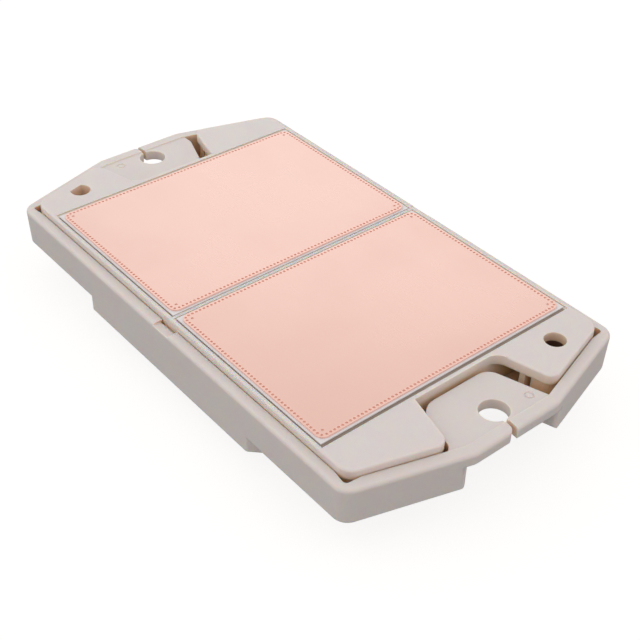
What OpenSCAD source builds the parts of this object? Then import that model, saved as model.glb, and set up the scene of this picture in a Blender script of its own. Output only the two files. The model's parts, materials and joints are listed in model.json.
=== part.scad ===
// Power transistor module with two ceramic substrates in a clip-on housing.
// Millimetres. The module lies with its cooling side up: X along it, Y across it, Z up from the pin tips.

/* [Substrates] */
// Length of one copper face along the module
cu_l = 38.4; // [36:0.1:42]
// Width of one copper face across the module
cu_w = 54.6; // [51:0.1:60]
// Thickness of each copper layer
cu_t = 0.3; // [0.2:0.05:0.5]
// Corner radius of a copper face
cu_r = 1.5; // [1.2:0.1:3]
// Bare ceramic outside the copper
ceramic_margin = 0.42; // [0.3:0.02:0.8]
// Thickness of the ceramic
ceramic_t = 0.63; // [0.4:0.01:1]
// Distance of the dimple row from the copper edge
dimple_inset = 0.5; // [0.4:0.05:0.8]
// Wanted distance between dimples in the row
dimple_pitch = 0.812; // [0.7:0.01:1.2]
// Diameter of a dimple
dimple_d = 0.48; // [0.3:0.02:0.6]
// Depth of a dimple
dimple_deep = 0.16; // [0.05:0.01:0.19]

/* [Frame] */
// Gap from the ceramic to the long side of its window
seat_gap = 0.34; // [0.2:0.02:0.8]
// Gap from the ceramic to the end of its window
end_gap = 0.73; // [0.2:0.02:1.5]
// Gap from the ceramic to the middle rib
rib_gap = 0.24; // [0.15:0.02:0.6]
// Width of the rib between the two substrates, at its top
rib_w = 0.54; // [0.4:0.02:1.5]
// Width of the ledge that carries a ceramic
ledge_w = 1.4; // [1:0.1:2]
// Long wall of the frame at its top
side_wall = 0.69; // [0.6:0.01:1.6]
// End wall of the frame at its top
end_wall = 0.68; // [0.6:0.01:1.6]
// Thickness of a corner pad
pad_t = 2; // [1.6:0.1:3]
// Distance of a pad from the middle line, where it leaves the end wall
pad_y = 9.26; // [8.8:0.1:11]
// How much a pad's inner edge turns outwards, per length
pad_slope = 0.26; // [0.2:0.01:0.32]
// Radius of a pad's corner beside the screw tab
pad_tab_r = 2; // [1:0.1:2.5]
// Radius of a pad's corner at the long side
pad_side_r = 3; // [2:0.1:4]
// Radius where a pad with a locating hole runs into the end wall
pad_root_r = 2.6; // [1:0.1:3]
// Rounding of the frame's top edge
frame_edge_r = 0.35; // [0.2:0.05:0.6]
// Wall of the skirt under a pad
skirt_t = 1.2; // [0.8:0.1:1.6]
// How far the skirt stands in from the pad's edge
skirt_in = 0.4; // [0:0.1:0.6]
// Start of the skirt on a pad's inner edge, from the end wall
skirt_from = 6.4; // [5.5:0.1:7.5]
// Thickness of the rib under a pad
pad_rib_t = 1; // [0.8:0.1:1.2]
// Start of the rib under a pad, from the end wall
pad_rib_from = 4.3; // [3.8:0.1:4.4]
// Diameter of the locating hole
locate_d = 4; // [3:0.1:4.5]
// Wall of the boss round a locating hole
boss_wall = 1.2; // [0.8:0.1:1.5]
// Distance of the flat in the second locating hole from its centre
locate_flat = 1.4; // [1.2:0.1:1.9]
// Round locating hole, from the middle of the module along it
locate_x = 45; // [44.6:0.1:46]
// Locating hole with a flat, from the middle of the module along it
flat_hole_x = 45.6; // [44.6:0.1:46]
// Locating holes, from the middle line across it
locate_y = 19.65; // [17:0.1:22]

/* [Housing] */
// Clearance between frame and housing
frame_gap = 0.15; // [0.1:0.01:0.3]
// Long wall of the housing
rim_w = 2.05; // [1.8:0.05:3]
// End wall of the housing beside the tab
end_rim_w = 2.35; // [2:0.05:3]
// Height of the module from the lid face to the copper face
body_h = 12; // [11.4:0.1:14]
// How far the rim lies below the copper face
rim_drop = 1.65; // [1.2:0.05:2.2]
// How much the corners of the housing's opening are set out
relief = 0.5; // [0.2:0.05:0.7]
// Length over which they are set out
relief_l = 2.6; // [2:0.1:4]
// Rounding of the rim's outer edge
rim_edge_r = 0.7; // [0.3:0.1:1]
// Inward lean of the outer walls at their foot
wall_draft = 0.2; // [0:0.05:0.4]
// Length over which the end leans back beside the tab
end_cut = 6.47; // [5:0.1:8]
// Straight width of the tab's end
tab_w = 18.8; // [16:0.2:20]
// Radius of the outer corners at the long walls
corner_r = 3; // [1.5:0.1:4]
// Radius of the outer corners of the tab
tab_r = 4; // [2:0.1:6]
// Thickness of the lid
lid_t = 1.6; // [1.2:0.1:2]
// Rise of the corner shoulders over the lid face
shoulder_rise = 3.2; // [2:0.1:3.8]
// Length of the full-width middle part of the lid
plateau_l = 48.8; // [44:0.2:54]
// Step of the lid at the ends of its middle part
plateau_step = 5.5; // [4:0.1:6.5]
// Distance of the lid's end face from the end wall of the frame
plateau_back = 1.6; // [1.5:0.1:4]
// Rounding of the upright edges of the lid's middle part
plateau_r = 0.9; // [0.3:0.1:1.5]
// Width of a latch at the middle of a long wall
latch_w = 4.6; // [3:0.1:8]
// Depth of a latch notch
latch_deep = 0.4; // [0.3:0.05:0.8]
// Height of a latch notch
latch_h = 2.4; // [2:0.1:4]

/* [Screw tabs] */
// Gap between the frame's end wall and the tab
tab_gap = 0.86; // [0.4:0.02:1.2]
// Thickness of the tab
tab_t = 2.05; // [1.6:0.05:3]
// How far the tab lies below the rim
tab_drop = 0.2; // [0.1:0.05:0.4]
// Distance of the tab's +Y side from the middle line, at its inner end
tab_root = 6.3; // [5.6:0.1:6.8]
// How much the tab's +Y side turns outwards, per length
tab_slope = 0.318; // [0.28:0.01:0.33]
// Radius of the tab's inner corner on the +Y side
tab_root_r = 2.8; // [1.5:0.1:3.5]
// How much wider the tab at the -X end is on its +Y side
far_wide = 0.77; // [0:0.01:1]
// How much that wider side turns outwards, per length
far_slope = 0.366; // [0.32:0.002:0.4]
// Distance of its outer part from the middle line
far_reach = 10.1; // [9.5:0.1:10.5]
// Radius of its outer corner
far_corner_r = 2; // [1:0.1:2.5]
// Gap between the tab's -Y side and the pad beside it
tab_close = 0.5; // [0.3:0.05:1]
// Radius of the tab's inner corner on the -Y side
tab_close_r = 4; // [2:0.1:5]
// Distance of the screw hole from the tab's inner end
hole_in = 7.82; // [7:0.02:10]
// Distance of the screw hole from the tab's outer end
hole_out = 5.46; // [4.5:0.1:7]
// Diameter of the screw hole
hole_d = 5.3; // [4.3:0.1:6]
// Width of the slit from the screw hole to the outer end
slit_w = 0.75; // [0.5:0.05:1.5]
// Turn of the slit from the length of the module
slit_turn = 6; // [0:1:25]
// Radius of the slit's lip at the outer end
slit_lip_r = 1.4; // [0.4:0.1:1.8]
// Wall of the screw pocket under the tab
pocket_wall = 1.2; // [1:0.1:1.4]
// Rounding of the end wall's edges beside the screw pocket
pocket_edge_r = 1; // [0.3:0.1:1.4]

/* [Inside] */
// How far the contact pins stand out of the lid
pin_out = 4.2; // [3.5:0.1:6]
// Thickness of a contact pin
pin_t = 0.64; // [0.5:0.02:0.8]
// Width of a contact pin's press-fit eye
pin_eye_w = 1.45; // [1.2:0.05:1.8]
// Diameter of a contact pin's shank
shank_d = 1; // [0.8:0.05:1.2]
// Clearance of a contact pin in its socket
shank_gap = 0.03; // [0.02:0.01:0.06]
// Height of a pin socket
socket_h = 2.8; // [2:0.1:4]
// Outer diameter of a pin socket
socket_d = 1.8; // [1.7:0.1:2.2]
// Diameter of a pin hole in the lid
pin_hole_d = 2; // [1.8:0.1:2.6]
// Length of a transistor chip along the module
die_l = 5.4; // [4:0.1:6]
// Width of a transistor chip across the module
die_w = 6.2; // [5:0.1:7]
// Thickness of a transistor chip
die_t = 0.2; // [0.1:0.01:0.3]
// Thickness of the solder under a chip
solder_t = 0.1; // [0.05:0.01:0.15]
// Diameter of a bond wire
wire_d = 0.3; // [0.2:0.02:0.4]
// Rise of a bond wire's arch
wire_rise = 1.6; // [1:0.1:2.4]

/* [Hidden] */
$fn = 48;
arc_steps = 8;
edge_steps = 4;
slice_t = 0.02;
over = 1;

// Levels: depth counts down from the copper face, and z(depth) is the height of that level.
top = body_h + pin_out;
frame_depth = cu_t;
ledge_depth = cu_t + ceramic_t;
track_depth = ledge_depth + cu_t;
die_depth = track_depth + solder_t;
wire_depth = die_depth + die_t;
pad_depth = frame_depth + pad_t;
tab_top = rim_drop + tab_drop;
tab_depth = tab_top + tab_t;
shoulder_depth = body_h - shoulder_rise;
floor_depth = shoulder_depth - lid_t;
lid_depth = body_h - lid_t;
latch_foot = rim_drop + latch_h;
latch_nub_h = 0.5 * latch_h;

// Ejector mark on a tab.
ring_d = 1.05;
ring_w = 0.4;
ring_deep = 0.14;

// Places along the module, from its middle.
ceramic_l = cu_l + 2 * ceramic_margin;
ceramic_w = cu_w + 2 * ceramic_margin;
sub_x = rib_w / 2 + rib_gap + ceramic_l / 2;
window_end = sub_x + ceramic_l / 2 + end_gap;
frame_end = window_end + end_wall;
tab_start = frame_end + tab_gap;
hole_x = tab_start + hole_in;
half_l = hole_x + hole_out;
plateau_end = frame_end - plateau_back;
ring_x = hole_x + 1;

// Places across the module, from its middle line.
window_y = ceramic_w / 2 + seat_gap;
frame_y = window_y + side_wall;
cavity_y = frame_y + frame_gap;
half_w = cavity_y + rim_w;
tab_half = tab_w / 2;
ring_y = tab_half - 2.3;

// Radius of the inner corners of the screw pocket.
pocket_r = 1.6;

// Sides of the tab's tongue, of the block under it and of the pocket in that block: the distance from the
// middle line at the inner end, the slope and the radius of the inner corner.
tab_plus = [tab_root, tab_slope, tab_root_r];
tab_minus = [pad_y + pad_slope * tab_gap - tab_close, pad_slope, tab_close_r];
block_side = [tab_root + pocket_wall, tab_slope, tab_root_r];
pocket_side = [tab_root + pocket_wall * tab_slope, tab_slope, pocket_r];

// Rounding of the set-out corners of the housing's opening, and of the bends that lead to them.
relief_r = 0.7;
bend_r = 4;

// Slope of the leaning end beside the tab, and the length of one unit across it.
end_slope = end_cut / (half_w - tab_half);
end_unit = sqrt(1 + end_slope * end_slope);

// Tracks, chips and contact pins, in the frame of one substrate.
// The bands of track lie across it: gate pads, minus, phase and plus, parted at the three cuts.
track_gap = 0.8;
ledge_r = 0.5;
track_clear = 0.2;
track_edge = ledge_w + track_clear - ceramic_margin;
track_x = cu_l / 2 - track_edge;
track_y = cu_w / 2 - track_edge;
gate_cut_x = cu_l / 6;
band_cuts = [-0.3 * cu_w, -0.12 * cu_w, 0.17 * cu_w];
die_back = 3;
land_in = 1.1;
die_cols = [-0.3 * cu_l, 0, 0.3 * cu_l];
die_rows = [for (i = [1, 2]) band_cuts[i] + track_gap / 2 + die_back + die_w / 2];
wire_span = die_w / 2 + die_back + track_gap + land_in;
pin_wall = 1.2;
pin_row_y = half_w - wall_draft - plateau_step - lid_t - pin_wall;
minus_row_y = (band_cuts[0] + band_cuts[1]) / 2;
pin_far = 0.38 * cu_l;
pin_near = 0.13 * cu_l;
pin_floor = 0.4;
chip = [2, 1.25, 0.6];
chip_cap = 0.4;
chip_y = band_cuts[0] - track_gap / 2 - 1.5;

function z(depth) = top - depth;
function unit(v) = v / norm(v);
function short_turn(a) = a > 180 ? a - 360 : a < -180 ? a + 360 : a;

// Points of the corner b between the points a and c, rounded by radius r.
function corner(a, b, c, r) =
  let (
    u = unit(a - b),
    v = unit(c - b),
    half = acos(u * v) / 2,
    reach = r / tan(half),
    mid = b + unit(u + v) * r / sin(half),
    first = b + u * reach - mid,
    last = b + v * reach - mid,
    start = atan2(first[1], first[0]),
    turn = short_turn(atan2(last[1], last[0]) - start)
  )
  r == 0 ? [b] : [for (k = [0:arc_steps]) let (t = start + turn * k / arc_steps) mid + r * [cos(t), sin(t)]];

// Points of a closed outline whose corners have the radii given.
function rounded(pts, radii) =
  let (n = len(pts))
  [for (i = [0:n - 1]) each corner(pts[(i + n - 1) % n], pts[i], pts[(i + 1) % n], radii[i])];

// The four mirror images of a run of points in the first quadrant, from the X axis to the Y axis.
function backwards(v) = [for (i = [len(v) - 1:-1:0]) v[i]];
function quadrants(v) = [
  each v,
  each backwards([for (p = v) [-p[0], p[1]]]),
  each [for (p = v) [-p[0], -p[1]]],
  each backwards([for (p = v) [p[0], -p[1]]])
];
function mirrored(v) = [each v, each backwards(v), each v, each backwards(v)];

// Place along the module of the leaning end line, set in by w, at the distance y from the middle line.
function end_x(y, w) = half_l - w * end_unit - (y - tab_half) * end_slope;

// Outer outline of the housing, set in by i.
function housing_outline(i) =
  let (
    tab = [half_l - i, tab_half - i * (end_unit - 1) / end_slope],
    side = [end_x(half_w - i, i), half_w - i]
  )
  rounded(quadrants([tab, side]), mirrored([tab_r - i, corner_r - i]));

// Outline of the lid's raised middle, set in by i.
function plateau_outline(i) =
  let (
    across = half_w - wall_draft - i,
    back = i * tan(22.5)
  )
  rounded(
    quadrants([
      [plateau_end - i, across - plateau_step],
      [plateau_l / 2 + plateau_step - back, across - plateau_step],
      [plateau_l / 2 - back, across]
    ]),
    mirrored([plateau_r, plateau_r, plateau_r])
  );

// Outline of a corner pad in the first quadrant, set in by i.
function pad_outline(i) =
  let (
    w = end_rim_w + frame_gap + i,
    root = [frame_end - end_wall, pad_y - pad_slope * end_wall + i],
    reach = end_x(root[1], w) - root[0],
    tip_x = root[0] + reach / (1 + end_slope * pad_slope),
    tip = [tip_x, root[1] + (tip_x - root[0]) * pad_slope],
    side = [end_x(frame_y - i, w), frame_y - i]
  )
  rounded([root, tip, side, [root[0], frame_y - i]], [0, pad_tab_r, pad_side_r, 0]);

// Outline of a tongue at the +X end from its inner end outwards, with its -Y and +Y sides.
function tongue_outline(start, minus, plus) =
  let (
    end = half_l + over,
    low = minus[0] + (end - start) * minus[1],
    high = plus[0] + (end - start) * plus[1]
  )
  rounded([[start, -minus[0]], [end, -low], [end, high], [start, plus[0]]], [minus[2], 0, 0, plus[2]]);

module slab(low, high) {
  translate([0, 0, z(low)])
    linear_extrude(height = low - high)
      children();
}

module both_ends() {
  children();
  mirror([1, 0, 0])
    children();
}

module four_corners() {
  for (flip = [0, 1])
    mirror([0, flip, 0])
      both_ends()
        children();
}

module block(l, w, r = 0) {
  x = l / 2;
  y = w / 2;
  polygon(rounded(quadrants([[x, y]]), [r, r, r, r]));
}

module substrate(side) {
  translate([side * sub_x, 0, 0])
    rotate(side > 0 ? 0 : 180)
      children();
}

// Housing

module rim_body() {
  hull() {
    slab(shoulder_depth, shoulder_depth - slice_t)
      polygon(housing_outline(wall_draft));
    for (k = [0:edge_steps]) {
      turn = 90 * k / edge_steps;
      level = rim_drop + rim_edge_r * (1 - sin(turn));
      slab(level + slice_t, level)
        polygon(housing_outline(rim_edge_r * (1 - cos(turn))));
    }
  }
}

// The housing's opening inside the rim.
module opening() {
  corner_x = end_x(cavity_y, end_rim_w);
  bend_y = cavity_y - relief_l;
  polygon(rounded(
    quadrants([
      [half_l - end_rim_w, tab_half], [end_x(bend_y, end_rim_w), bend_y],
      [corner_x + relief, cavity_y + relief], [corner_x - relief_l, cavity_y]
    ]),
    mirrored([0, bend_r, relief_r, bend_r])
  ));
}

module cavity_area() {
  difference() {
    opening();
    both_ends()
      children();
  }
}

// The tab's plate, which at its outer end follows the round corner of the pad on its -Y side.
module tongue() {
  polygon(tongue_outline(tab_start, tab_minus, tab_plus));
  difference() {
    translate([hole_x, -half_w])
      square([hole_out, half_w]);
    mirror([0, 1, 0])
      polygon(pad_outline(-tab_close));
  }
}

// The wider +Y side of the tab at the -X end, which turns along the rim at its outer corner.
module far_side() {
  root = tab_root + far_wide;
  bend = tab_start + (far_reach - root) / far_slope;
  mirror([1, 0, 0])
    polygon(rounded(
      [[tab_start, 0], [half_l, 0], [half_l, far_reach], [bend, far_reach], [tab_start, root]],
      [0, 0, 0, far_corner_r, tab_root_r]
    ));
}

module cavity() {
  slab(tab_top, -over)
    opening();
  slab(tab_depth, tab_top - slice_t)
    difference() {
      cavity_area()
        tongue();
      far_side();
    }
  slab(floor_depth, tab_depth - slice_t)
    cavity_area()
      polygon(tongue_outline(tab_start, block_side, block_side));
  slab(lid_depth, floor_depth - slice_t)
    polygon(plateau_outline(lid_t));
}

module screw_pocket() {
  slab(body_h + over, tab_depth)
    polygon(tongue_outline(tab_start + pocket_wall, pocket_side, pocket_side));
  translate([hole_x, 0, z(body_h)])
    cylinder(h = body_h, d = hole_d);
  slab(tab_depth + over, 0) {
    translate([hole_x, 0])
      rotate(-slit_turn)
        translate([0, -slit_w / 2])
          square([2 * hole_out, slit_w]);
    slit_lip();
  }
  for (flip = [0, 1])
    mirror([0, flip, 0])
      pocket_edges();
}

// What rounding by r takes off the corner b between the points a and c, and a little outside it.
module corner_cut(a, b, c, r) {
  out = b - over * unit(unit(a - b) + unit(c - b));
  polygon([out, each corner(a, b, c, r)]);
}

// Rounds the lip where the slit leaves the tab, on its -Y side.
module slit_lip() {
  meet = [half_l, -hole_out * tan(slit_turn) - slit_w / 2 / cos(slit_turn)];
  corner_cut(meet - [cos(slit_turn), -sin(slit_turn)], meet, meet - [0, 1], slit_lip_r);
}

// Rounds the end wall beside the screw pocket, on the +Y side: its upright edge and its lower edge.
module pocket_edges() {
  start = tab_start + pocket_wall;
  slope = pocket_side[1];
  reach = end_x(0, wall_draft / 2) - start;
  meet_y = (pocket_side[0] + slope * reach) / (1 + slope * end_slope);
  meet = [end_x(meet_y, wall_draft / 2), meet_y];
  slab(shoulder_depth + over, tab_depth)
    corner_cut(meet - [1, slope], meet, meet + [-end_slope, 1], pocket_edge_r);
  translate([start, pocket_side[0], z(shoulder_depth)])
    rotate([90, 0, 90 + atan(slope)])
      translate([0, 0, pocket_r])
        linear_extrude(height = half_l - start)
          corner_cut([0, 1], [0, 0], [1, 0], pocket_edge_r);
}

module latch_notch() {
  translate([0, half_w, z(rim_drop)])
    cube([latch_w, 4 * rim_w, 2 * latch_deep], center = true);
  translate([-latch_w / 2, 0, z(latch_foot)])
    cube([latch_w, cavity_y + latch_deep, latch_foot]);
}

// Shallow ring left on a tab by an ejector.
module ejector_ring() {
  slab(tab_top + ring_deep, 0)
    difference() {
      circle(d = ring_d + 2 * ring_w);
      circle(d = ring_d);
    }
}

module pin_places() {
  for (side = [1, -1])
    substrate(side)
      pin_grid()
        children();
}

module outer_housing() {
  color([0.80, 0.77, 0.73])
    difference() {
      union() {
        rim_body();
        slab(body_h, shoulder_depth - slice_t)
          polygon(plateau_outline(0));
      }
      cavity();
      both_ends()
        screw_pocket();
      for (flip = [0, 1])
        mirror([0, flip, 0])
          latch_notch();
      for (turn = [0, 180])
        rotate(turn)
          translate([ring_x, ring_y, 0])
            ejector_ring();
      pin_places()
        translate([0, 0, z(body_h + over)])
          cylinder(h = lid_t + 2 * over, d = pin_hole_d);
    }
}

// Frame

module pad_body() {
  hull() {
    slab(pad_depth, pad_depth - slice_t)
      polygon(pad_outline(0));
    for (k = [0:edge_steps]) {
      turn = 90 * k / edge_steps;
      level = frame_depth + frame_edge_r * (1 - sin(turn));
      slab(level + slice_t, level)
        polygon(pad_outline(frame_edge_r * (1 - cos(turn))));
    }
  }
  slab(floor_depth, pad_depth - slice_t) {
    difference() {
      polygon(pad_outline(skirt_in));
      polygon(pad_outline(skirt_in + skirt_t));
      square([frame_end + skirt_from, pad_y + skirt_from]);
    }
    intersection() {
      polygon(pad_outline(skirt_in));
      translate([frame_end + pad_rib_from, 0])
        square([pad_rib_t, locate_y - locate_d / 2]);
    }
  }
}

// Fillet between a pad's inner edge and the frame's end wall.
module pad_root() {
  inside = frame_edge_r;
  along_pad = [frame_end + 1, pad_y + pad_slope];
  along_wall = [frame_end, 0];
  meet = [frame_end, pad_y];
  polygon([meet + inside * [-1, 1], each corner(along_wall, meet, along_pad, pad_root_r)]);
}

module frame_ring() {
  hull() {
    slab(floor_depth, floor_depth - slice_t)
      block(2 * frame_end, 2 * frame_y);
    for (k = [0:edge_steps]) {
      turn = 90 * k / edge_steps;
      level = frame_depth + frame_edge_r * (1 - sin(turn));
      slab(level + slice_t, level)
        block(2 * frame_end, 2 * (frame_y - frame_edge_r * (1 - cos(turn))));
    }
  }
}

module latch_nub() {
  l = latch_w - 2 * frame_gap;
  translate([-l / 2, window_y, z(latch_foot - frame_gap)])
    cube([l, side_wall + latch_deep, latch_nub_h]);
}

module locating_boss() {
  slab(floor_depth, pad_depth - slice_t)
    circle(d = locate_d + 2 * boss_wall);
}

module substrate_frame() {
  color([0.84, 0.81, 0.78])
    difference() {
      union() {
        frame_ring();
        four_corners()
          pad_body();
        for (turn = [0, 180])
          rotate(turn)
            slab(pad_depth, frame_depth)
              pad_root();
        translate([locate_x, locate_y, 0])
          locating_boss();
        translate([-flat_hole_x, -locate_y, 0])
          locating_boss();
        for (flip = [0, 1])
          mirror([0, flip, 0])
            latch_nub();
      }
      for (side = [1, -1])
        substrate(side)
          window_cut();
      translate([locate_x, locate_y, z(floor_depth + over)])
        cylinder(h = floor_depth + over, d = locate_d);
      translate([-flat_hole_x, -locate_y, 0])
        slab(floor_depth + over, 0)
          flat_hole();
    }
}

module window_cut() {
  inner = rib_w / 2 - sub_x;
  outer = window_end - sub_x;
  slab(ledge_depth, 0)
    translate([inner, -window_y])
      square([outer - inner, 2 * window_y]);
  slab(floor_depth + over, ledge_depth - slice_t)
    block(ceramic_l - 2 * ledge_w, ceramic_w - 2 * ledge_w, ledge_r);
}

module flat_hole() {
  difference() {
    circle(d = locate_d);
    rotate(atan(end_slope))
      translate([-locate_d - locate_flat, -locate_d])
        square([locate_d, 2 * locate_d]);
  }
}

// Substrates

module ceramic_plate() {
  color([0.82, 0.75, 0.73])
    slab(ledge_depth, cu_t)
      block(ceramic_l, ceramic_w);
}

module base_copper() {
  color([0.93, 0.77, 0.71])
    difference() {
      slab(cu_t, 0)
        block(cu_l, cu_w, cu_r);
      dimple_row()
        translate([0, 0, z(dimple_deep)])
          cylinder(h = 2 * dimple_deep, d = dimple_d, $fn = 16);
    }
}

// One child at every dimple: four straight runs, two round each corner and one inside it.
module dimple_row() {
  bend = 1.25 * dimple_pitch;
  tuck = 1.05;
  half = [cu_l / 2 - dimple_inset, cu_w / 2 - dimple_inset];
  for (axis = [0, 1]) {
    run = half[axis] - bend;
    count = round(2 * run / dimple_pitch);
    for (i = [0:count], side = [1, -1]) {
      along = -run + 2 * run * i / count;
      translate(axis == 0 ? [along, side * half[1]] : [side * half[0], along])
        children();
    }
  }
  for (sx = [1, -1], sy = [1, -1]) {
    translate([sx * (half[0] - bend / 4), sy * (half[1] - bend / 4)])
      children();
    translate([sx * (half[0] - tuck), sy * (half[1] - tuck)])
      children();
  }
}

module adhesive_bead() {
  bead_t = 0.65 * ceramic_t;
  color([0.42, 0.37, 0.34])
    difference() {
      slab(ledge_depth, ledge_depth - bead_t)
        translate([rib_w / 2 - sub_x, -window_y])
          square([window_end - rib_w / 2, 2 * window_y]);
      slab(ledge_depth + over, 0)
        block(ceramic_l, ceramic_w);
    }
}

// Circuit side

// A piece of track between two cuts along the substrate and two cuts across it.
module track(left, right, low, high) {
  gap = track_gap / 2;
  l = max(left + gap, -track_x);
  r = min(right - gap, track_x);
  b = max(low + gap, -track_y);
  t = min(high - gap, track_y);
  translate([l, b])
    square([r - l, t - b]);
}

module circuit_copper() {
  color([0.80, 0.55, 0.42])
    slab(track_depth, ledge_depth) {
      track(-cu_l, -gate_cut_x, -cu_w, band_cuts[0]);
      track(-gate_cut_x, gate_cut_x, -cu_w, band_cuts[0]);
      track(gate_cut_x, cu_l, -cu_w, band_cuts[0]);
      track(-cu_l, cu_l, band_cuts[0], band_cuts[1]);
      track(-cu_l, cu_l, band_cuts[1], band_cuts[2]);
      track(-cu_l, cu_l, band_cuts[2], cu_w);
    }
}

module die_places() {
  for (x = die_cols, y = die_rows)
    translate([x, y, 0])
      children();
}

module die_solder() {
  color([0.70, 0.71, 0.72])
    die_places()
      slab(die_depth, track_depth)
        block(die_l, die_w);
}

module mosfet_dies() {
  color([0.32, 0.33, 0.36])
    die_places()
      slab(wire_depth, die_depth)
        block(die_l, die_w);
}

// One bond wire from a chip at y = 0 to the next band of track: a foot at each end and an arch between them.
module bond_wire() {
  foot_l = 3 * wire_d;
  foot_t = 0.6 * wire_d;
  sit = 0.7 * wire_d;
  arch_r = (wire_span * wire_span / 4 + wire_rise * wire_rise) / (2 * wire_rise);
  half_turn = asin(wire_span / 2 / arch_r);
  translate([-wire_d / 2, -foot_l / 2, z(wire_depth + foot_t)])
    cube([wire_d, foot_l, foot_t]);
  translate([-wire_d / 2, -wire_span - foot_l / 2, z(wire_depth + foot_t)])
    cube([wire_d, foot_l, foot_t + die_t + solder_t]);
  translate([0, -wire_span / 2, z(wire_depth + sit + wire_rise - arch_r)])
    rotate([0, 90, 0])
      rotate(-half_turn)
        rotate_extrude(angle = 2 * half_turn)
          translate([arch_r, 0])
            circle(d = wire_d, $fn = 16);
}

module bond_wires() {
  wire_pitch = die_l / 4;
  color([0.85, 0.85, 0.86])
    die_places()
      for (i = [-1, 0, 1])
        translate([i * wire_pitch, 0, 0])
          bond_wire();
}

// One child at every contact pin: four on the plus, minus and gate bands, two on the phase band.
module pin_grid() {
  for (x = [-pin_far, -pin_near, pin_near, pin_far], y = [pin_row_y, minus_row_y, -pin_row_y])
    translate([x, y, 0])
      children();
  for (x = [-pin_near, pin_near])
    translate([x, die_rows[0], 0])
      children();
}

module pin_sockets() {
  flange_d = socket_d + 0.8;
  flange_t = 0.5;
  color([0.80, 0.68, 0.40])
    pin_grid()
      difference() {
        union() {
          slab(track_depth + socket_h, track_depth)
            circle(d = socket_d);
          slab(track_depth + flange_t, track_depth)
            circle(d = flange_d);
        }
        slab(track_depth + socket_h + over, track_depth + pin_floor)
          circle(d = shank_d + 2 * shank_gap);
      }
}

// Flat press-fit end of a pin, drawn from the lid face at y = 0 to the tip at y = -pin_out.
module pin_blade() {
  half = pin_eye_w / 2;
  neck = shank_d / 2;
  tip = 0.3;
  eye = pin_out * 0.35;
  difference() {
    polygon([
      [-neck, over], [neck, over], [neck, -0.15 * pin_out], [half, -0.35 * pin_out], [half, -0.6 * pin_out],
      [neck, -0.8 * pin_out], [tip, -pin_out], [-tip, -pin_out], [-neck, -0.8 * pin_out],
      [-half, -0.6 * pin_out], [-half, -0.35 * pin_out], [-neck, -0.15 * pin_out]
    ]);
    translate([-half / 3, -0.475 * pin_out - eye / 2])
      square([2 * half / 3, eye]);
  }
}

module press_fit_pins() {
  color([0.86, 0.84, 0.80])
    pin_grid() {
      slab(body_h, track_depth + pin_floor)
        circle(d = shank_d);
      translate([0, pin_t / 2, z(body_h)])
        rotate([90, 0, 0])
          linear_extrude(height = pin_t)
            pin_blade();
    }
}

// Thermistor across the gap between two gate pads of substrate b

module thermistor_place() {
  substrate(-1)
    translate([gate_cut_x, chip_y, 0])
      children();
}

module thermistor_body() {
  color([0.25, 0.28, 0.26])
    thermistor_place()
      slab(track_depth + chip[2], track_depth)
        block(chip[0] - 2 * chip_cap, chip[1]);
}

module thermistor_caps() {
  color([0.75, 0.75, 0.76])
    thermistor_place()
      both_ends()
        slab(track_depth + chip[2], track_depth)
          translate([chip[0] / 2 - chip_cap, -chip[1] / 2])
            square([chip_cap, chip[1]]);
}

outer_housing();
substrate_frame();
substrate(1) ceramic_plate();  // ceramic_plate_a
substrate(-1) ceramic_plate();  // ceramic_plate_b
substrate(1) base_copper();  // base_copper_a
substrate(-1) base_copper();  // base_copper_b
substrate(1) adhesive_bead();  // adhesive_bead_a
substrate(-1) adhesive_bead();  // adhesive_bead_b
substrate(1) circuit_copper();  // circuit_copper_a
substrate(-1) circuit_copper();  // circuit_copper_b
substrate(1) die_solder();  // die_solder_a
substrate(-1) die_solder();  // die_solder_b
substrate(1) mosfet_dies();  // mosfet_dies_a
substrate(-1) mosfet_dies();  // mosfet_dies_b
substrate(1) bond_wires();  // bond_wires_a
substrate(-1) bond_wires();  // bond_wires_b
substrate(1) pin_sockets();  // pin_sockets_a
substrate(-1) pin_sockets();  // pin_sockets_b
substrate(1) press_fit_pins();  // press_fit_pins_a
substrate(-1) press_fit_pins();  // press_fit_pins_b
thermistor_body();
thermistor_caps();
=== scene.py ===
"""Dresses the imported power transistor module: finishes, floor, studio light and the photograph's camera.

Lengths are in metres in the part's own frame: X along the module, Y across it, Z up from the pin tips.
"""
import json
import math

import bpy
from mathutils import Matrix, Vector


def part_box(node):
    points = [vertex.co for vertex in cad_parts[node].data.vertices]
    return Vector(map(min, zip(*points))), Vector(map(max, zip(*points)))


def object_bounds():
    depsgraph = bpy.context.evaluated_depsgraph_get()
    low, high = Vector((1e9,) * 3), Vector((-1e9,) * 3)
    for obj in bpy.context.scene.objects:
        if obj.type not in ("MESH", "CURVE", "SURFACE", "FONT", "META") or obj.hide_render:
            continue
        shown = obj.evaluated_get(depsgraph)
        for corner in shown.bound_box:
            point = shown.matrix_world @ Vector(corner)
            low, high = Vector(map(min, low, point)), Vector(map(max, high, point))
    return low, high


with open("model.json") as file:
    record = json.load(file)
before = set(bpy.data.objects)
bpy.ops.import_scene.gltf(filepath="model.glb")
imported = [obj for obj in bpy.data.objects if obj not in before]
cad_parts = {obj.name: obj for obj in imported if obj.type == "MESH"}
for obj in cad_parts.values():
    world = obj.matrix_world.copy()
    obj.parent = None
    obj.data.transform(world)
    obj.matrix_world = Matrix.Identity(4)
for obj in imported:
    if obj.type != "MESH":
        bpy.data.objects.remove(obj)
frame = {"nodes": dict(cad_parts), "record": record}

MM = 0.001
CAD_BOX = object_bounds()

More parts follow.
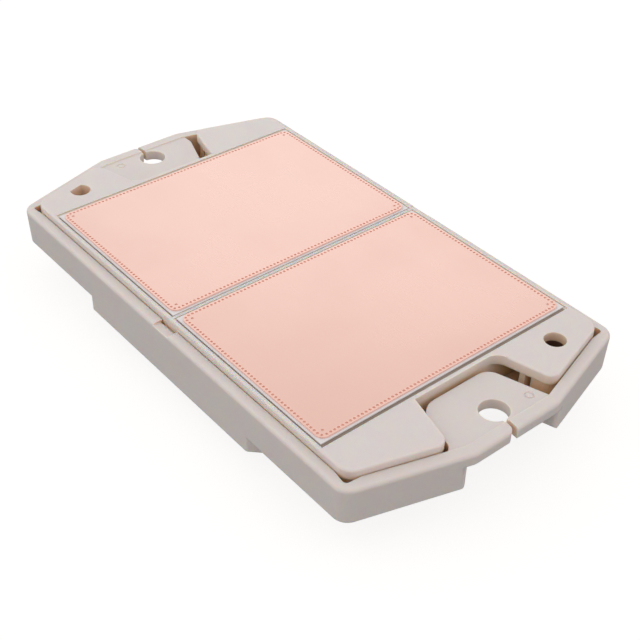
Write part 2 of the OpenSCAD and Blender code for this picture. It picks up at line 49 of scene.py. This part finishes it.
# The cooling-side copper of the substrate on the +X side; the other lies as far out on the -X side
COPPER_LOW, COPPER_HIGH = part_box("base_copper_a")
COPPER_HALF = (COPPER_HIGH - COPPER_LOW) / 2
COPPER_MIDDLE = (COPPER_HIGH.x + COPPER_LOW.x) / 2
TOP = COPPER_HIGH.z

# The round locating hole goes through a corner pad and on down to its foot
PAD_T = 2 * MM
HOLE = next(mount for mount in frame["record"]["mounts"] if mount["name"] == "locating_hole")
HOLE_X, HOLE_Y, HOLE_MIDDLE = HOLE["pos_m"]
HOLE_R = HOLE["dims"]["r_mm"] * MM
HOLE_DEPTH = HOLE["dims"]["length_mm"] * MM
HOLE_FOOT = HOLE_MIDDLE - HOLE_DEPTH / 2
PAD_FOOT = HOLE_MIDDLE + HOLE_DEPTH / 2 - PAD_T


def both(name):
    """The two nodes of a piece that each substrate has."""
    return name + "_a", name + "_b"


# Small helpers that place shader nodes


def fill(tree, socket, value):
    """Links an output to a socket, or sets the socket to a plain value."""
    if isinstance(value, bpy.types.NodeSocket):
        tree.links.new(value, socket)
    elif hasattr(socket.default_value, "__len__") and len(socket.default_value) == 4 and len(value) == 3:
        socket.default_value = (*value, 1)
    else:
        socket.default_value = value


def put(tree, kind, settings=(), **sockets):
    """A shader node of a kind, with its settings and with its sockets set or linked by name."""
    made = tree.nodes.new("ShaderNode" + kind)
    for name, value in dict(settings).items():
        setattr(made, name, value)
    for name, value in sockets.items():
        fill(tree, made.inputs[name.replace("_", " ")], value)
    return made


def calc(tree, operation, first, second=0.0, third=0.0):
    """The result of one Math node."""
    made = put(tree, "Math", {"operation": operation})
    for socket, value in zip(made.inputs, (first, second, third)):
        fill(tree, socket, value)
    return made.outputs[0]


def ramp(tree, value, low, high, first=0.0, last=1.0):
    """A value carried smoothly from first to last while the input goes from low to high."""
    made = put(tree, "MapRange", {"interpolation_type": "SMOOTHSTEP"}, Value=value)
    for name, number in (("From Min", low), ("From Max", high), ("To Min", first), ("To Max", last)):
        made.inputs[name].default_value = number
    return made.outputs["Result"]


def blend(tree, factor, first, second):
    """Two colours mixed by a factor."""
    made = put(tree, "Mix", {"data_type": "RGBA"})
    for index, value in ((0, factor), (6, first), (7, second)):
        fill(tree, made.inputs[index], value)
    return made.outputs[2]


def axes_of(tree):
    """The part's own X, Y and Z as three values."""
    return put(tree, "SeparateXYZ", Vector=put(tree, "TexCoord").outputs["Object"]).outputs


def object_place(tree, scale=(1, 1, 1)):
    """The part's own coordinates in metres, stretched by a scale."""
    place = put(tree, "TexCoord").outputs["Object"]
    return put(tree, "Mapping", Vector=place, Scale=scale).outputs["Vector"]


def noise(tree, place, scale, detail=2.0, roughness=0.5):
    """Soft cloud noise from 0 to 1; the scale counts features to the metre."""
    made = put(tree, "TexNoise", Vector=place, Scale=scale, Detail=detail, Roughness=roughness)
    return made.outputs["Fac"]


# Effects that several finishes share


def new_group(name, inputs, outputs):
    """An empty shader node group with named sockets; returns the tree, its inputs and its output node."""
    tree = bpy.data.node_groups.new(name, "ShaderNodeTree")
    for label, kind, start in inputs:
        socket = tree.interface.new_socket(label, in_out="INPUT", socket_type="NodeSocket" + kind)
        socket.default_value = (*start, 1) if kind == "Color" else start
    for label, kind in outputs:
        tree.interface.new_socket(label, in_out="OUTPUT", socket_type="NodeSocket" + kind)
    return tree, tree.nodes.new("NodeGroupInput").outputs, tree.nodes.new("NodeGroupOutput")


def moulding_grain():
    """Moulded plastic: fine spark-eroded grain as a height, and a colour that clouds and speckles."""
    tree, given, out = new_group(
        "moulding_grain",
        (
            ("Colour", "Color", (0.7, 0.65, 0.6)),
            ("Cloud", "Color", (0.6, 0.55, 0.5)),
            ("Grain", "Float", 3200.0),
        ),
        (("Colour", "Color"), ("Height", "Float")),
    )
    place = object_place(tree)
    fine = noise(tree, place, given["Grain"], 3.0, 0.6)
    flow = noise(tree, object_place(tree, (1, 2.2, 1.5)), 70.0, 3.0)
    fleck = noise(tree, place, 1100.0, 1.0)
    cloud = calc(tree, "MULTIPLY", ramp(tree, flow, 0.35, 0.75), 0.5)
    cloud = calc(tree, "ADD", cloud, ramp(tree, fleck, 0.55, 0.85, 0.0, 0.35))
    fill(tree, out.inputs["Colour"], blend(tree, cloud, given["Colour"], given["Cloud"]))
    fill(tree, out.inputs["Height"], fine)
    return tree


def metal_grain():
    """Sheet and drawn metal: streaks along X, tarnish in soft clouds, and the roughness of both."""
    tree, given, out = new_group(
        "metal_grain",
        (
            ("Colour", "Color", (0.8, 0.8, 0.8)),
            ("Tarnish", "Color", (0.6, 0.6, 0.6)),
            ("Roughness", "Float", 0.3),
            ("Streak", "Float", 2600.0),
            ("Cloud", "Float", 90.0),
            ("Drag", "Float", 0.18),
        ),
        (("Colour", "Color"), ("Roughness", "Float"), ("Height", "Float")),
    )
    streak = noise(tree, object_place(tree, (0.05, 1, 1)), given["Streak"], 3.0, 0.6)
    cloud = ramp(tree, noise(tree, object_place(tree), given["Cloud"], 4.0, 0.55), 0.35, 0.8)
    dull = calc(tree, "MULTIPLY_ADD", streak, 0.25, calc(tree, "MULTIPLY", cloud, 0.45))
    fill(tree, out.inputs["Colour"], blend(tree, dull, given["Colour"], given["Tarnish"]))
    drag = calc(tree, "SUBTRACT", streak, 0.5)
    rough = calc(tree, "MULTIPLY_ADD", drag, given["Drag"], given["Roughness"])
    fill(tree, out.inputs["Roughness"], calc(tree, "MULTIPLY_ADD", cloud, 0.06, rough))
    fill(tree, out.inputs["Height"], streak)
    return tree


def fired_grain():
    """Fired ceramic: crystal grain as a height and a faint speckle in the colour."""
    tree, given, out = new_group(
        "fired_grain",
        (
            ("Colour", "Color", (0.8, 0.8, 0.8)),
            ("Speckle", "Color", (0.6, 0.6, 0.6)),
            ("Grain", "Float", 4000.0),
        ),
        (("Colour", "Color"), ("Height", "Float")),
    )
    cells = put(tree, "TexVoronoi", Vector=object_place(tree), Scale=given["Grain"]).outputs["Distance"]
    cloud = noise(tree, object_place(tree), 500.0, 3.0)
    factor = calc(tree, "MULTIPLY", ramp(tree, cells, 0.1, 0.7), ramp(tree, cloud, 0.35, 0.7))
    fill(tree, out.inputs["Colour"], blend(tree, factor, given["Colour"], given["Speckle"]))
    fill(tree, out.inputs["Height"], cells)
    return tree


def gap_shade():
    """Painted shade in gaps: a colour turns to a deeper painted shade where little sky shows within a
    reach.

    Faces that look down keep their colour, because there the floor stands in the way and not the part.
    The round locating hole gets a brown painted shade below its pad: near the axis, from the pad's
    underside to the foot.
    """
    tree, given, out = new_group(
        "gap_shade",
        (
            ("Colour", "Color", (0.7, 0.65, 0.6)),
            ("Deep", "Color", (0.5, 0.4, 0.3)),
            ("Reach", "Float", 6.5 * MM),
        ),
        (("Colour", "Color"),),
    )
    # Painted shade: where ambient occlusion finds little sky, the colour turns to the painted shade colour
    sky = put(tree, "AmbientOcclusion", {"samples": 8}, Distance=given["Reach"]).outputs["AO"]
    lift = put(tree, "SeparateXYZ", Vector=put(tree, "NewGeometry").outputs["Normal"]).outputs["Z"]
    shade_mask = calc(tree, "MULTIPLY", ramp(tree, sky, 0.82, 0.02), ramp(tree, lift, -0.6, -0.3))
    painted_shade_colour = blend(tree, shade_mask, given["Colour"], given["Deep"])
    apart = put(tree, "VectorMath", {"operation": "DISTANCE"})
    fill(tree, apart.inputs[0], object_place(tree, (1, 1, 0)))
    fill(tree, apart.inputs[1], (HOLE_X, HOLE_Y, 0))
    near = ramp(tree, apart.outputs["Value"], HOLE_R + 0.2 * MM, HOLE_R + 0.1 * MM)
    level = axes_of(tree)["Z"]
    below_pad = ramp(tree, level, PAD_FOOT + 0.3 * MM, PAD_FOOT)
    above_foot = ramp(tree, level, HOLE_FOOT - 0.3 * MM, HOLE_FOOT - 0.1 * MM)
    sunk = calc(tree, "MULTIPLY", calc(tree, "MULTIPLY", below_pad, above_foot), near)
    # Painted shade in the locating hole: near its axis, from the pad's underside down to the foot
    hole_painted_shade = (0.13, 0.07, 0.05)
    fill(tree, out.inputs["Colour"], blend(tree, sunk, painted_shade_colour, hole_painted_shade))
    return tree


def soft_edge():
    """Shape of a surface: edges rounded over a radius, a relief of a depth, and a mask of the edges.

    The mask grows as the rounded normal leans away from the face's own normal.
    """
    tree, given, out = new_group(
        "soft_edge",
        (("Height", "Float", 0.5), ("Depth", "Float", 0.01 * MM), ("Radius", "Float", 0.1 * MM)),
        (("Normal", "Vector"), ("Edge", "Float")),
    )
    soft = put(tree, "Bevel", {"samples": 8}, Radius=given["Radius"]).outputs["Normal"]
    relief = put(tree, "Bump", Strength=1.0, Distance=given["Depth"], Height=given["Height"], Normal=soft)
    lean = put(tree, "VectorMath", {"operation": "DOT_PRODUCT"})
    fill(tree, lean.inputs[0], soft)
    fill(tree, lean.inputs[1], put(tree, "NewGeometry").outputs["Normal"])
    fill(tree, out.inputs["Normal"], relief.outputs["Normal"])
    fill(tree, out.inputs["Edge"], ramp(tree, lean.outputs["Value"], 0.995, 0.85))
    return tree


PLASTIC = moulding_grain()
METAL = metal_grain()
CERAMIC = fired_grain()
GAP = gap_shade()
EDGE = soft_edge()


def new_material(name, **sockets):
    """A material with one Principled shader, its plain values set; returns it, its tree and the shader."""
    mat = bpy.data.materials.new(name)
    mat.use_nodes = True
    tree = mat.node_tree
    tree.nodes.clear()
    shader = put(tree, "BsdfPrincipled", **sockets)
    tree.links.new(shader.outputs["BSDF"], put(tree, "OutputMaterial").inputs["Surface"])
    return mat, tree, shader


def grain_of(tree, group, **sockets):
    """A shared effect placed in a material with its own values."""
    made = tree.nodes.new("ShaderNodeGroup")
    made.node_tree = group
    for name, value in sockets.items():
        fill(tree, made.inputs[name], value)
    return made.outputs


def shape_normal(tree, shader, height, depth, radius):
    """Feeds the normal with rounded edges and a relief; returns the mask of the edges."""
    shape = grain_of(tree, EDGE, Height=height, Depth=depth, Radius=radius)
    fill(tree, shader.inputs["Normal"], shape["Normal"])
    return shape["Edge"]


def plastic_finish(name, colour, cloud, painted_shade, painted_edge_highlight):
    """Moulded plastic that lets a little light through: a deeper, warmer painted shade in gaps and a paler
    painted highlight at rounded edges.
    """
    mat, tree, shader = new_material(
        name, Roughness=0.42, Specular_IOR_Level=0.4,
        Subsurface_Weight=1.0, Subsurface_Radius=(1.0, 0.62, 0.36), Subsurface_Scale=1.0 * MM,
    )
    grain = grain_of(tree, PLASTIC, Colour=colour, Cloud=cloud)
    edge = shape_normal(tree, shader, grain["Height"], 0.006 * MM, 0.22 * MM)
    # Painted shade in gaps and in the locating hole
    painted_shade_colour = grain_of(tree, GAP, Colour=grain["Colour"], Deep=painted_shade)["Colour"]
    # Painted highlight: rounded edges turn paler
    fill(tree, shader.inputs["Base Color"], blend(tree, edge, painted_shade_colour, painted_edge_highlight))
    return mat


def metal_finish(name, colour, tarnish, roughness, edge=0.05 * MM, cloud=90.0):
    """Bare or plated metal with a rolled or drawn grain."""
    mat, tree, shader = new_material(name, Metallic=1.0)
    grain = grain_of(tree, METAL, Colour=colour, Tarnish=tarnish, Roughness=roughness, Cloud=cloud)
    fill(tree, shader.inputs["Base Color"], grain["Colour"])
    fill(tree, shader.inputs["Roughness"], grain["Roughness"])
    shape_normal(tree, shader, grain["Height"], 0.002 * MM, edge)
    return mat


def ceramic_finish(name, colour, speckle, roughness, grain_scale):
    """Fired ceramic with a fine crystal grain."""
    mat, tree, shader = new_material(name, Roughness=roughness)
    grain = grain_of(tree, CERAMIC, Colour=colour, Speckle=speckle, Grain=grain_scale)
    fill(tree, shader.inputs["Base Color"], grain["Colour"])
    shape_normal(tree, shader, grain["Height"], 0.003 * MM, 0.06 * MM)
    return mat


def cooling_copper(name):
    """The cooling-side copper: rolled grain on the face, a pinker border outside the row of dimples.

    The border is where the larger of two distances passes the row: the distance along the module from
    the middle of the nearer substrate, and the distance across it from the middle line, each less half
    the size of the copper. A dimple is what lies below the face, away from the copper's own edge.
    """
    mat, tree, shader = new_material(name, Metallic=1.0)
    grain = grain_of(
        tree, METAL, Colour=(0.945, 0.654, 0.583), Tarnish=(0.92, 0.624, 0.548), Roughness=0.27,
        Streak=1500.0, Cloud=45.0, Drag=0.015,
    )
    border_pink = (0.985, 0.662, 0.582)
    dimple_red = (0.89, 0.602, 0.525)
    axes = axes_of(tree)
    from_middle = calc(tree, "SUBTRACT", calc(tree, "ABSOLUTE", axes["X"]), COPPER_MIDDLE)
    past_end = calc(tree, "SUBTRACT", calc(tree, "ABSOLUTE", from_middle), COPPER_HALF.x)
    past_side = calc(tree, "SUBTRACT", calc(tree, "ABSOLUTE", axes["Y"]), COPPER_HALF.y)
    edge = calc(tree, "MAXIMUM", past_end, past_side)
    border = ramp(tree, edge, -0.95 * MM, -0.7 * MM)
    face = blend(tree, border, grain["Colour"], border_pink)
    low = ramp(tree, axes["Z"], TOP - 0.03 * MM, TOP - 0.12 * MM)
    sunk = calc(tree, "MULTIPLY", low, ramp(tree, edge, -0.1 * MM, -0.3 * MM))
    fill(tree, shader.inputs["Base Color"], blend(tree, sunk, face, dimple_red))
    fill(tree, shader.inputs["Roughness"], calc(tree, "MULTIPLY_ADD", sunk, 0.2, grain["Roughness"]))
    shape_normal(tree, shader, grain["Height"], 0.00008 * MM, 0.04 * MM)
    return mat


def glue_finish(name):
    """Silicone glue: a smooth, slightly wavy skin with lighter and darker runs.

    It is brown-grey, a painted shade of the groove, along the edges of a substrate that face -Y and +X,
    and pale along the other two. The place along X is counted from the middle of the nearer substrate.
    """
    mat, tree, shader = new_material(name, Roughness=0.38)
    run = noise(tree, object_place(tree), 320.0, 3.0)
    # Painted groove shade: brown-grey, with lighter and darker runs
    painted_groove_shade = blend(tree, ramp(tree, run, 0.3, 0.7), (0.30, 0.235, 0.19), (0.25, 0.19, 0.155))
    pale = (0.70, 0.62, 0.57)
    turn = 0.4 * MM
    axes = axes_of(tree)
    middle = calc(tree, "MULTIPLY", calc(tree, "SIGN", axes["X"]), COPPER_MIDDLE)
    along = calc(tree, "SUBTRACT", axes["X"], middle)
    # Where the glue keeps its pale colour without the painted shade: past the copper's -X end or its +Y
    # side
    unshaded_end = ramp(tree, along, -COPPER_HALF.x, -COPPER_HALF.x - turn)
    unshaded_side = ramp(tree, axes["Y"], COPPER_HALF.y, COPPER_HALF.y + turn)
    unshaded = calc(tree, "MAXIMUM", unshaded_end, unshaded_side)
    fill(tree, shader.inputs["Base Color"], blend(tree, unshaded, painted_groove_shade, pale))
    shape_normal(tree, shader, run, 0.05 * MM, 0.1 * MM)
    return mat


def silicon_finish(name):
    """Chip face: polished silicon under fine rows of cells, drawn as a wave across the chip."""
    mat, tree, shader = new_material(name, Metallic=0.6, Roughness=0.22)
    wave = put(tree, "TexWave", {"bands_direction": "X"}, Vector=object_place(tree), Scale=900.0)
    cells = wave.outputs["Fac"]
    fill(tree, shader.inputs["Base Color"], blend(tree, cells, (0.26, 0.27, 0.31), (0.36, 0.37, 0.40)))
    shape_normal(tree, shader, cells, 0.001 * MM, 0.02 * MM)
    return mat


def put_on(material, *nodes):
    """Gives CAD nodes a finish."""
    for name in nodes:
        slots = frame["nodes"][name].data.materials
        slots.clear()
        slots.append(material)


# The finish of each node: its colour, the second colour that clouds or tarnishes it, and its own values

# Besides its own colours, each plastic has a painted shade colour for its gaps and a painted highlight
# colour for its rounded edges
housing_plastic = plastic_finish(
    "housing_plastic", colour=(0.755, 0.705, 0.69), cloud=(0.73, 0.68, 0.665),
    painted_shade=(0.79, 0.57, 0.37), painted_edge_highlight=(0.86, 0.81, 0.75),
)
# Painted shade colour for gaps and painted highlight colour for rounded edges, as for the housing
frame_plastic = plastic_finish(
    "frame_plastic", colour=(0.77, 0.72, 0.71), cloud=(0.745, 0.695, 0.685),
    painted_shade=(0.82, 0.60, 0.40), painted_edge_highlight=(0.89, 0.84, 0.77),
)
substrate_ceramic = ceramic_finish(
    "substrate_ceramic", colour=(0.84, 0.82, 0.84), speckle=(0.78, 0.76, 0.78),
    roughness=0.4, grain_scale=5200.0,
)
circuit_copper = metal_finish(
    "circuit_copper", colour=(0.86, 0.56, 0.43), tarnish=(0.68, 0.42, 0.31), roughness=0.36,
)
solder = metal_finish(
    "solder", colour=(0.70, 0.71, 0.72), tarnish=(0.50, 0.51, 0.53), roughness=0.42, cloud=700.0,
)
bond_wire = metal_finish(
    "bond_wire", colour=(0.88, 0.88, 0.89), tarnish=(0.72, 0.72, 0.74), roughness=0.28, edge=0.03 * MM,
)
socket_metal = metal_finish(
    "socket_metal", colour=(0.80, 0.79, 0.76), tarnish=(0.62, 0.61, 0.58), roughness=0.34,
)
pin_metal = metal_finish(
    "pin_metal", colour=(0.84, 0.83, 0.80), tarnish=(0.66, 0.64, 0.60), roughness=0.27, edge=0.09 * MM,
)
sensor_ceramic = ceramic_finish(
    "sensor_ceramic", colour=(0.08, 0.095, 0.085), speckle=(0.13, 0.14, 0.13),
    roughness=0.5, grain_scale=9000.0,
)
sensor_caps = metal_finish(
    "sensor_caps", colour=(0.78, 0.78, 0.77), tarnish=(0.60, 0.60, 0.59), roughness=0.36,
)

put_on(housing_plastic, "outer_housing")
put_on(frame_plastic, "substrate_frame")
put_on(substrate_ceramic, *both("ceramic_plate"))
put_on(cooling_copper("base_copper"), *both("base_copper"))
put_on(glue_finish("adhesive"), *both("adhesive_bead"))
put_on(circuit_copper, *both("circuit_copper"))
put_on(solder, *both("die_solder"))
put_on(silicon_finish("silicon"), *both("mosfet_dies"))
put_on(bond_wire, *both("bond_wires"))
put_on(socket_metal, *both("pin_sockets"))
put_on(pin_metal, *both("press_fit_pins"))
put_on(sensor_ceramic, "thermistor_body")
put_on(sensor_caps, "thermistor_caps")


# Camera, floor and light

# The photograph's camera: its place, then heading, dip below the horizon and roll in degrees, lens in mm
CAMERA_PLACE = Vector((137.24 * MM, -110.87 * MM, TOP + 125.54 * MM))
CAMERA_HEADING = 139.786
CAMERA_DIP = 38.437
CAMERA_ROLL = 1.317
CAMERA_LENS = 65.88
CAMERA_SENSOR = 36

# The floor: half its side, its level under the pin tips, and its glow to the camera, to the rest of the
# scene, and to the part right above it
FLOOR_HALF = 2.0
FLOOR_LEVEL = -0.1 * MM
FLOOR_GLOW = 0.82
FLOOR_FILL = 0.06
FLOOR_UNDER = 0.45

# The surround: its tint, its strength as light, and its strength where the camera sees it
SURROUND_TINT = (1, 0.97, 0.94, 1)
SURROUND = 0.69
BACKDROP = 1.06

# Soft boxes: name, heading and rise in degrees, distance and side in metres, radiance and tint
PANELS = (
    ("behind_low", 140, 24, 1.2, 0.76, 0.42, (0.86, 0.96, 1)),
    ("behind_high", 140, 56, 1.2, 0.84, 0.08, (1, 0.6, 0.35)),
    ("left", 262, 38, 1.2, 1.4, 0.44, (1, 1, 1)),
    ("right", 40, 38, 1.2, 1.4, 0.34, (1, 0.98, 1)),
    ("far_left", 205, 36, 1.2, 1.2, 0.26, (0.85, 0.93, 1)),
)


def direction(heading, rise):
    """The unit vector at a heading, turned from +X towards +Y, and a rise above the floor, in degrees."""
    turn = math.radians(heading)
    lift = math.radians(rise)
    return Vector((math.cos(lift) * math.cos(turn), math.cos(lift) * math.sin(turn), math.sin(lift)))


def add_camera():
    """The photograph's camera: it looks along its heading and dip, then rolls a little about that line."""
    ahead = direction(CAMERA_HEADING, -CAMERA_DIP)
    roll = Matrix.Rotation(math.radians(CAMERA_ROLL), 4, "Z")
    data = bpy.data.cameras.new("photo_camera")
    data.sensor_width = CAMERA_SENSOR
    data.lens = CAMERA_LENS
    data.clip_start = 0.01
    camera = bpy.data.objects.new("photo_camera", data)
    turn = ahead.to_track_quat("-Z", "Y").to_matrix().to_4x4()
    camera.matrix_world = Matrix.Translation(CAMERA_PLACE) @ turn @ roll
    bpy.context.scene.collection.objects.link(camera)
    bpy.context.scene.camera = camera


def add_floor():
    """A plain floor just under the pin tips.

    It glows white to the camera. To everything else it gives back a little light, and more right under
    the part, so that the underside can be seen. From below it is clear.
    """
    mesh = bpy.data.meshes.new("floor")
    signs = ((-1, -1), (1, -1), (1, 1), (-1, 1))
    corners = [(x * FLOOR_HALF, y * FLOOR_HALF, FLOOR_LEVEL) for x, y in signs]
    mesh.from_pydata(corners, [], [(0, 1, 2, 3)])
    floor = bpy.data.objects.new("floor", mesh)
    mat, tree, shader = new_material(
        "floor_paper", Roughness=0.9, Specular_IOR_Level=0.0, Emission_Color=(1, 1, 1),
    )
    tone = noise(tree, object_place(tree), 3.0)
    fill(tree, shader.inputs["Base Color"], blend(tree, tone, (0.25, 0.24, 0.23), (0.26, 0.25, 0.24)))
    axes = axes_of(tree)
    under = calc(tree, "MULTIPLY", *(
        ramp(tree, calc(tree, "ABSOLUTE", axes[axis]), 0.95 * reach, 0.6 * reach)
        for axis, reach in (("X", CAD_BOX[1][0]), ("Y", CAD_BOX[1][1]))
    ))
    given_back = calc(tree, "MULTIPLY_ADD", under, FLOOR_UNDER, FLOOR_FILL)
    seen = put(tree, "LightPath").outputs["Is Camera Ray"]
    unseen = calc(tree, "MULTIPLY", calc(tree, "SUBTRACT", 1.0, seen), given_back)
    fill(tree, shader.inputs["Emission Strength"], calc(tree, "MULTIPLY_ADD", seen, FLOOR_GLOW, unseen))
    below = put(tree, "NewGeometry").outputs["Backfacing"]
    fill(tree, shader.inputs["Alpha"], calc(tree, "SUBTRACT", 1.0, below))
    mesh.materials.append(mat)
    bpy.context.scene.collection.objects.link(floor)


def add_panel(name, heading, rise, reach, size, radiance, tint):
    """A square soft box that faces the part from a heading, a rise above the floor and a distance."""
    away = direction(heading, rise)
    data = bpy.data.lights.new(name, "AREA")
    data.size = size
    data.energy = radiance * math.pi * size * size
    data.color = tint
    light = bpy.data.objects.new(name, data)
    light.location = away * reach
    light.rotation_euler = (-away).to_track_quat("-Z", "Y").to_euler()
    bpy.context.scene.collection.objects.link(light)


def add_light():
    """Soft studio light: soft boxes round the part, and an even surround that the camera sees as white."""
    for panel in PANELS:
        add_panel(*panel)
    world = bpy.data.worlds.new("surround")
    world.use_nodes = True
    tree = world.node_tree
    sky = tree.nodes["Background"]
    sky.inputs["Color"].default_value = SURROUND_TINT
    seen = put(tree, "LightPath").outputs["Is Camera Ray"]
    fill(tree, sky.inputs["Strength"], calc(tree, "MULTIPLY_ADD", seen, BACKDROP - SURROUND, SURROUND))
    bpy.context.scene.world = world


add_camera()
add_floor()
add_light()
bpy.context.scene.view_settings.view_transform = "Standard"
